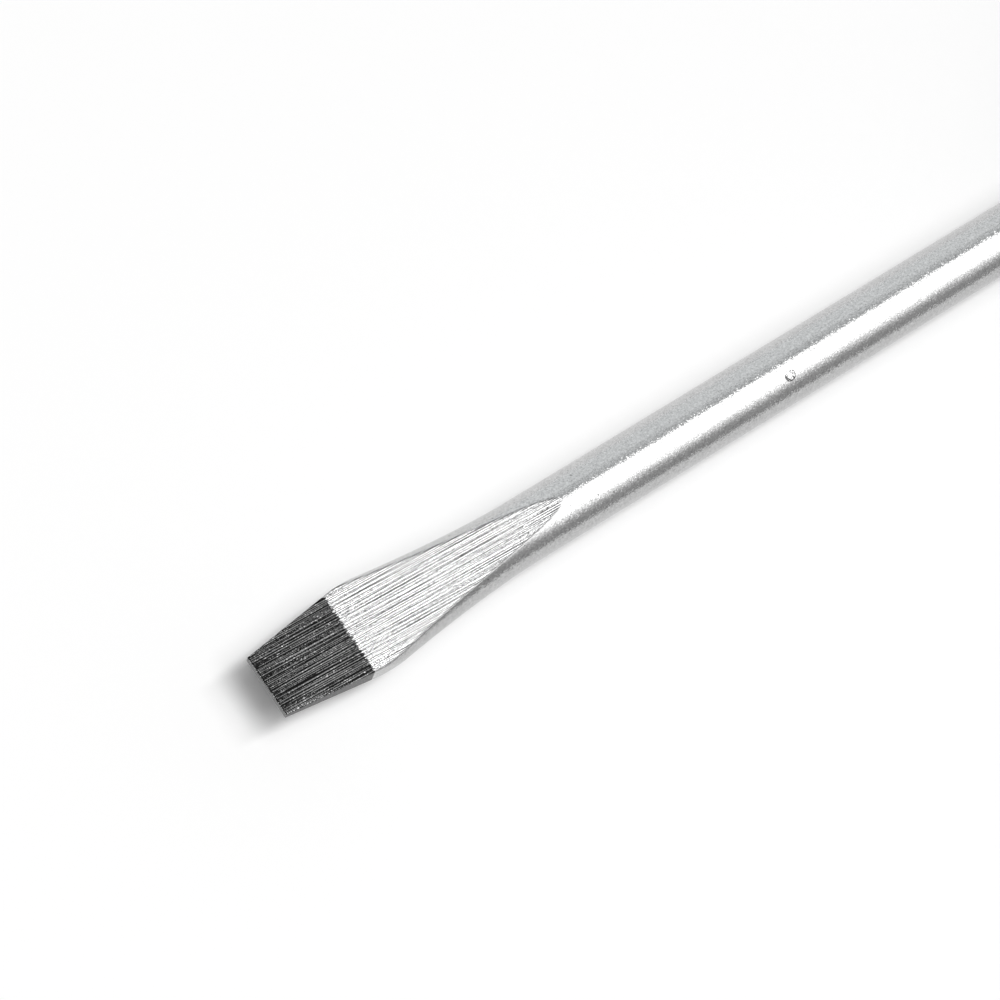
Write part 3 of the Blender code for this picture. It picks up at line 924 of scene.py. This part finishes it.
def rib_mesh(material):
    """Ribs of one strip, along a guide line in the middle of it."""
    guide = bpy.data.curves.new("rib_guide", "CURVE")
    guide.dimensions = "3D"
    line = guide.splines.new("POLY")
    places = spaced(GRIP_FRONT, GRIP_REAR, RIB_GUIDE_STEPS)
    line.points.add(len(places) - 1)
    for point, z in zip(line.points, places):
        point.co = (facet_height(z) + GRIP_FIELD, 0, z, 1)
    tree = rib_tree(material)
    holder = add_object("rib_guide", guide)
    ribs = holder.modifiers.new("ribs", "NODES")
    ribs.node_group = tree
    for socket in tree.interface.items_tree:
        if socket.name in RIB_INPUTS:
            ribs[socket.identifier] = RIB_INPUTS[socket.name]
    return baked(holder)


def make_strips():
    """Six like strips, each turned on to its own flat."""
    rubber = moulded("grip_rubber", RUBBER_BLACK, RUBBER_WORN, rib_wear,
                     roughness=0.66, grain_density=5.0, grain_depth=0.03 * MM)
    body = strip_body(-GRIP_DEPTH, GRIP_FIELD, 0.0, GRIP_EDGE)
    body.verts.layers.float.new("rib")
    body.from_mesh(rib_mesh(rubber))
    strip = mesh_of("ribbed_strip", body)
    for side in range(SIDES):
        finish_piece(f"ribbed_strip_{side + 1}", turned_copy(strip, side), rubber,
                     f"grip_strip_{side + 1}")


def make_cap():
    """Cap with a recess for the disc, a rounded rim, a shoulder and a plug."""
    recess = DISC_RADIUS + SEAM
    recess_floor = BUTT - DISC_THICKNESS - SEAM
    profile = [(POLE, recess_floor), (recess, recess_floor)]
    profile += arc((recess + CAP_LIP, BUTT - CAP_LIP), CAP_LIP, 180, 90, LIP_STEPS)
    profile += arc((CAP_RADIUS - CAP_ROUNDING, BUTT - CAP_ROUNDING), CAP_ROUNDING, 90, 0, RIM_STEPS)
    profile += arc((CAP_RADIUS - CAP_LIP, CAP_SEAT + CAP_LIP), CAP_LIP, 0, -90, LIP_STEPS)
    profile += [(PLUG_RADIUS, CAP_SEAT), (PLUG_RADIUS, PLUG_END + PLUG_CHAMFER)]
    profile += [(PLUG_RADIUS - PLUG_CHAMFER, PLUG_END), (POLE, PLUG_END)]
    finish = moulded("cap_plastic", CAP_GREY, CAP_WORN, rim_wear,
                     roughness=0.42, grain_density=3.5, grain_depth=0.03 * MM)
    finish_piece("turned_cap", turned("turned_cap", profile), finish, "end_cap")


def make_disc():
    """Disc flush with the cap's rim, with a sunk and painted bar with round ends across it."""
    low = BUTT - DISC_THICKNESS
    profile = [(POLE, low), (DISC_RADIUS, low)]
    profile += arc((DISC_RADIUS - DISC_EDGE, BUTT - DISC_EDGE), DISC_EDGE, 0, 90, LIP_STEPS)
    profile += [(POLE, BUTT)]
    centre = (MARK_LENGTH - MARK_WIDTH) / 2
    outline = arc((0, centre), MARK_WIDTH / 2, 0, 180, MARK_END_STEPS)
    outline += arc((0, -centre), MARK_WIDTH / 2, 180, 360, MARK_END_STEPS)
    bar = skin([[(x, y, z) for x, y in outline] for z in (BUTT - MARK_DEPTH, BUTT + MARK_DEPTH)])
    mesh = cut_away(turned("marked_disc", profile), [mesh_of("bar", bar)])
    finish = moulded("disc_plastic", DISC_GREY, MARK_PAINT, bar_paint,
                     roughness=0.46, grain_density=4.0, grain_depth=0.02 * MM)
    finish_piece("marked_disc", mesh, finish, "marker_disc")


# Stage

def make_floor():
    """Sheet of white paper, seen as a clean white that keeps the tool's shadow."""
    material = bpy.data.materials.new("floor")
    t = Tree(material)
    light_path = t.node("ShaderNodeLightPath").outputs
    beside = t.parts(t.node("ShaderNodeTexCoord").outputs["Object"])["Y"]
    # Polished metal sees the near side of the sheet painted a darker shade and the far side plain white
    reflected = t.tint(t.step(beside, *FLOOR_FADE), grey(FLOOR_NEAR_PAINTED_SHADE), grey(FLOOR_SEEN))
    unseen = t.tint(light_path["Is Glossy Ray"], grey(FLOOR_WHITE), reflected)
    shade = t.tint(light_path["Is Camera Ray"], unseen, grey(FLOOR_SEEN))
    shader = t.node("ShaderNodeBsdfDiffuse", {"Color": shade})
    t.node("ShaderNodeOutputMaterial", {"Surface": shader.outputs[0]})
    left, right, near, far = FLOOR_SHEET
    corners = [(left, near), (right, near), (right, far), (left, far)]
    mesh = bpy.data.meshes.new("floor")
    mesh.from_pydata([(x, y, -FLOOR_DROP) for x, y in corners], [], [(0, 1, 2, 3)])
    mesh.materials.append(material)
    add_object("floor", mesh)


def make_world():
    """Even light all round; polished metal sees an overhead softbox between grey walls."""
    world = bpy.data.worlds.new("studio")
    bpy.context.scene.world = world
    t = Tree(world)
    direction = t.parts(t.node("ShaderNodeTexCoord").outputs["Generated"])
    turn = t.math("ARCTAN2", t.math("MULTIPLY", direction["Y"], -1.0), direction["Z"])
    ramp = t.node("ShaderNodeValToRGB", {"Fac": t.math("MULTIPLY_ADD", turn, 1 / math.pi, 0.5, clamp=True)})
    stops = ramp.color_ramp.elements
    while len(stops) < len(REFLECTIONS):
        stops.new(0.5)
    for stop, (angle, level) in zip(stops, REFLECTIONS):
        stop.position = (angle + 90) / 180
        tint = WALL_TINT if angle < 0 and level < SOFTBOX else (1, 1, 1)
        stop.color = tuple(level / SOFTBOX * channel for channel in tint) + (1,)
    light_path = t.node("ShaderNodeLightPath").outputs
    reflected = t.scaled(ramp.outputs["Color"], SOFTBOX)
    unseen = t.tint(light_path["Is Glossy Ray"], grey(AMBIENT), reflected)
    shade = t.tint(light_path["Is Camera Ray"], unseen, grey(1.0))
    background = t.node("ShaderNodeBackground", {"Color": shade})
    t.node("ShaderNodeOutputWorld", {"Surface": background.outputs[0]})


def make_lamps():
    """Oval softboxes for the shadow; the world shows polished metal their reflection."""
    for name, (direction, size, power) in LAMPS.items():
        data = bpy.data.lights.new(name, "AREA")
        data.shape = "ELLIPSE"
        data.size, data.size_y = size
        data.energy = power
        lamp = add_object(name, data)
        back = direction.normalized()
        side = Vector((0, 1, 0)).cross(back).normalized()
        turn = Matrix((side, back.cross(side), back)).transposed().to_4x4()
        lamp.matrix_world = Matrix.Translation(LAMP_TARGET + back * LAMP_DISTANCE) @ turn
        lamp.visible_glossy = False


def make_camera():
    """Camera over the tip, rolled so that the blade runs up to the right."""
    ahead = Vector((math.sin(CAMERA_HEADING), math.cos(CAMERA_HEADING), 0))
    side = Vector((math.cos(CAMERA_HEADING), -math.sin(CAMERA_HEADING), 0))
    up = Vector((0, 0, 1))
    view = ahead * math.cos(CAMERA_ELEVATION) - up * math.sin(CAMERA_ELEVATION)
    rise = ahead * math.sin(CAMERA_ELEVATION) + up * math.cos(CAMERA_ELEVATION)
    right = side * math.cos(CAMERA_ROLL) + rise * math.sin(CAMERA_ROLL)
    above = rise * math.cos(CAMERA_ROLL) - side * math.sin(CAMERA_ROLL)
    place = Vector((TIP_X, 0, AXIS_Z)) + AIM_FROM_TIP - view * CAMERA_DISTANCE
    data = bpy.data.cameras.new("camera")
    data.lens = CAMERA_LENS
    data.sensor_width = CAMERA_SENSOR
    data.clip_start = CAMERA_NEAR
    camera = add_object("camera", data)
    camera.matrix_world = Matrix.Translation(place) @ Matrix((right, above, -view)).transposed().to_4x4()
    bpy.context.scene.camera = camera


bpy.context.scene.view_settings.view_transform = "Standard"
make_camera()
make_world()
make_lamps()
make_floor()
make_blade()
make_core()
make_strips()
make_cap()
make_disc()
